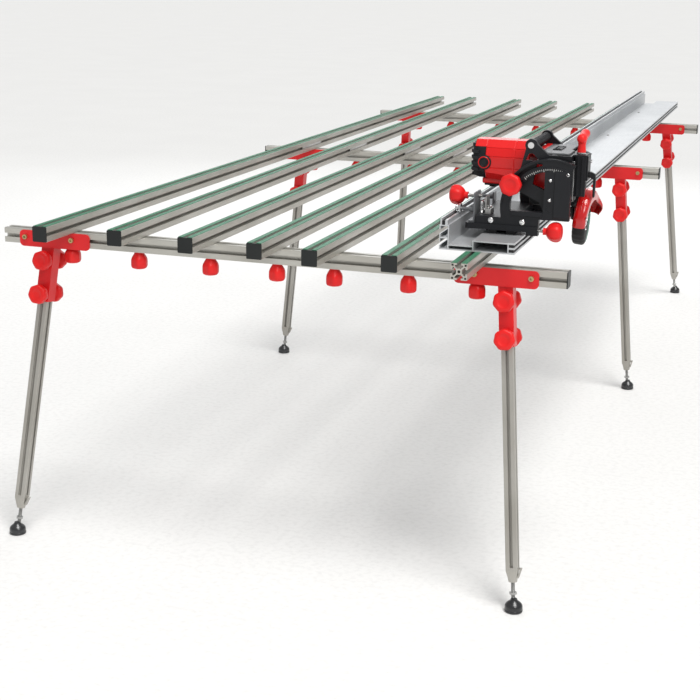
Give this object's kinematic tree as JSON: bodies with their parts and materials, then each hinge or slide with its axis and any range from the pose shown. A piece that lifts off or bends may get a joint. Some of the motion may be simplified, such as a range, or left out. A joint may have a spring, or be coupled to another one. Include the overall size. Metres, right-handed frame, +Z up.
{
  "type": "slab cutting workbench with rail-guided saw",
  "caption": "Long slatted aluminium table on splayed clamped legs, with a guide rail along one side that carries a sliding saw whose head tilts and plunges.",
  "frame": {"origin": "centre of the whole machine in plan, on the floor", "axes": "+Z up, +Y along the slats and the rail from the end where the saw is parked, +X across the table towards the rail and the blade"},
  "size_m": [1.5928, 4.057, 1.1699],
  "materials": {
    "anodised": "satin anodised extrusion",
    "leg_anodised": "satin anodised extrusion",
    "grip_strip": "translucent non-slip strip",
    "cap_plastic": "moulded",
    "steel": "bright plated",
    "knob_red": "moulded",
    "bracket_red": "powder coat",
    "yellow_zinc": "yellow zinc plated",
    "rail_aluminium": "satin anodised extrusion",
    "rubber_black": "matt",
    "cast_black": "satin black",
    "chrome": "polished",
    "silver_plate": "satin",
    "cover_grey": "satin grey",
    "saw_red": "glossy",
    "saw_black": "fine grain",
    "blade_steel": "ground"
  },
  "bodies": {
    "bench": {"front_cross_beam": "anodised", "middle_cross_beam": "anodised", "far_cross_beam": "anodised", "slat_1": "anodised", "slat_2": "anodised", "slat_3": "anodised", "slat_4": "anodised", "slat_5": "anodised", "slat_6": "anodised", "slat_7": "anodised", "slat_grip_strips": "grip_strip", "joiner_plates": "steel", "profile_end_caps": "cap_plastic", "clamp_t_bolts": "steel", "slat_clamp_knobs": "knob_red", "leg_brackets": "bracket_red", "bracket_bolts": "yellow_zinc", "leg_clamp_knobs": "knob_red", "guide_rail": "rail_aluminium", "rail_rubber_strips": "rubber_black"},
    "carriage": {"carriage_base": "cast_black", "carriage_bolts": "chrome", "glide_pads": "saw_black", "wall_guide_bracket": "silver_plate", "bevel_quadrants": "cast_black"},
    "front_roller": {"front_wall_roller": "chrome"},
    "rear_roller": {"rear_wall_roller": "chrome"},
    "wall_lock": {"wall_lock_knob": "knob_red"},
    "edge_lock": {"edge_lock_knob": "knob_red"},
    "tilt_head": {"head_frame": "cast_black", "carry_handle": "cast_black", "top_cover": "cover_grey", "head_screws": "chrome"},
    "bevel_lock": {"bevel_lock_knob": "knob_red"},
    "power_rocker": {"power_switch": "saw_black"},
    "plunge_lock": {"plunge_lock_lever": "saw_black"},
    "crank": {"plunge_screw": "steel", "plunge_crank": "knob_red"},
    "cutter": {"plunge_nut": "steel", "gear_case": "saw_red", "motor_housing": "saw_red", "motor_end_cap": "saw_black", "brush_caps": "saw_black", "cable_gland": "saw_black", "blade_guard": "saw_red", "guard_skirt": "rubber_black"},
    "blade": {"saw_blade": "blade_steel", "blade_arbor": "chrome"},
    "leg_near_left": {"leg_near_left": "leg_anodised"},
    "foot_near_left": {"foot_near_left": "rubber_black"},
    "leg_near_right": {"leg_near_right": "leg_anodised"},
    "foot_near_right": {"foot_near_right": "rubber_black"},
    "leg_middle_left": {"leg_middle_left": "leg_anodised"},
    "foot_middle_left": {"foot_middle_left": "rubber_black"},
    "leg_middle_right": {"leg_middle_right": "leg_anodised"},
    "foot_middle_right": {"foot_middle_right": "rubber_black"},
    "leg_far_left": {"leg_far_left": "leg_anodised"},
    "foot_far_left": {"foot_far_left": "rubber_black"},
    "leg_far_right": {"leg_far_right": "leg_anodised"},
    "foot_far_right": {"foot_far_right": "rubber_black"}
  },
  "joints": [
    {"name": "leg_near_left_slide", "type": "slide", "parent": "bench", "child": "leg_near_left", "axis": [-0.0959, -0.1463, -0.9846], "range_m": [0, 0.06]},
    {"name": "foot_near_left_screw", "type": "slide", "parent": "leg_near_left", "child": "foot_near_left", "axis": [-0.0959, -0.1463, -0.9846], "range_m": [-0.005, 0.02]},
    {"name": "leg_near_right_slide", "type": "slide", "parent": "bench", "child": "leg_near_right", "axis": [0.0959, -0.1463, -0.9846], "range_m": [0, 0.06]},
    {"name": "foot_near_right_screw", "type": "slide", "parent": "leg_near_right", "child": "foot_near_right", "axis": [0.0959, -0.1463, -0.9846], "range_m": [-0.005, 0.02]},
    {"name": "leg_middle_left_slide", "type": "slide", "parent": "bench", "child": "leg_middle_left", "axis": [-0.0969, 0, -0.9953], "range_m": [0, 0.06]},
    {"name": "foot_middle_left_screw", "type": "slide", "parent": "leg_middle_left", "child": "foot_middle_left", "axis": [-0.0969, 0, -0.9953], "range_m": [-0.005, 0.02]},
    {"name": "leg_middle_right_slide", "type": "slide", "parent": "bench", "child": "leg_middle_right", "axis": [0.0969, 0, -0.9953], "range_m": [0, 0.06]},
    {"name": "foot_middle_right_screw", "type": "slide", "parent": "leg_middle_right", "child": "foot_middle_right", "axis": [0.0969, 0, -0.9953], "range_m": [-0.005, 0.02]},
    {"name": "leg_far_left_slide", "type": "slide", "parent": "bench", "child": "leg_far_left", "axis": [-0.0942, 0.2344, -0.9676], "range_m": [0, 0.06]},
    {"name": "foot_far_left_screw", "type": "slide", "parent": "leg_far_left", "child": "foot_far_left", "axis": [-0.0942, 0.2344, -0.9676], "range_m": [-0.005, 0.02]},
    {"name": "leg_far_right_slide", "type": "slide", "parent": "bench", "child": "leg_far_right", "axis": [0.0942, 0.2344, -0.9676], "range_m": [0, 0.06]},
    {"name": "foot_far_right_screw", "type": "slide", "parent": "leg_far_right", "child": "foot_far_right", "axis": [0.0942, 0.2344, -0.9676], "range_m": [-0.005, 0.02]},
    {"name": "carriage_slide", "type": "slide", "parent": "bench", "child": "carriage", "axis": [0, 1, 0], "range_m": [-0.08, 3.45]},
    {"name": "wall_lock_turn", "type": "hinge", "parent": "carriage", "child": "wall_lock", "pos_m": [0.47058, -1.74151, 0.997], "axis": [1, 0, 0], "range_deg": [-180, 180]},
    {"name": "edge_lock_turn", "type": "hinge", "parent": "carriage", "child": "edge_lock", "pos_m": [0.65058, -1.78501, 0.931], "axis": [1, 0, 0], "range_deg": [-180, 180]},
    {"name": "bevel_tilt", "type": "hinge", "parent": "carriage", "child": "tilt_head", "pos_m": [0.67558, -1.66651, 0.985], "axis": [0, 1, 0], "range_deg": [0, 45]},
    {"name": "bevel_lock_turn", "type": "hinge", "parent": "tilt_head", "child": "bevel_lock", "pos_m": [0.58172, -1.79451, 1.0414], "axis": [0, 1, 0], "range_deg": [-180, 180]},
    {"name": "power_rock", "type": "hinge", "parent": "tilt_head", "child": "power_rocker", "pos_m": [0.67058, -1.66651, 1.114], "axis": [1, 0, 0], "range_deg": [-6, 6]},
    {"name": "plunge_lock_turn", "type": "hinge", "parent": "tilt_head", "child": "plunge_lock", "pos_m": [0.74958, -1.71251, 1.062], "axis": [1, 0, 0], "range_deg": [0, 75]},
    {"name": "plunge_slide", "type": "slide", "parent": "tilt_head", "child": "cutter", "axis": [0, 0, 1], "range_m": [-0.02, 0.02]},
    {"name": "crank_turn", "type": "hinge", "parent": "tilt_head", "child": "crank", "pos_m": [0.73258, -1.71251, 1.112], "axis": [0, 0, 1], "range_deg": [-1441, 1441]},
    {"name": "blade_spin", "type": "hinge", "parent": "cutter", "child": "blade", "pos_m": [0.73908, -1.66651, 0.9505], "axis": [1, 0, 0], "continuous": true},
    {"name": "front_roller_turn", "type": "hinge", "parent": "carriage", "child": "front_roller", "pos_m": [0.44758, -1.77251, 0.9703], "axis": [1, 0, 0], "range_deg": [-19773, 464]},
    {"name": "rear_roller_turn", "type": "hinge", "parent": "carriage", "child": "rear_roller", "pos_m": [0.44758, -1.56051, 0.9703], "axis": [1, 0, 0], "range_deg": [-19773, 464]}
  ],
  "couplings": [
    {"joint": "crank_turn", "follows": "plunge_slide", "rad_per_m": -1256.6},
    {"joint": "front_roller_turn", "follows": "carriage_slide", "rad_per_m": -100},
    {"joint": "rear_roller_turn", "follows": "carriage_slide", "rad_per_m": -100}
  ]
}
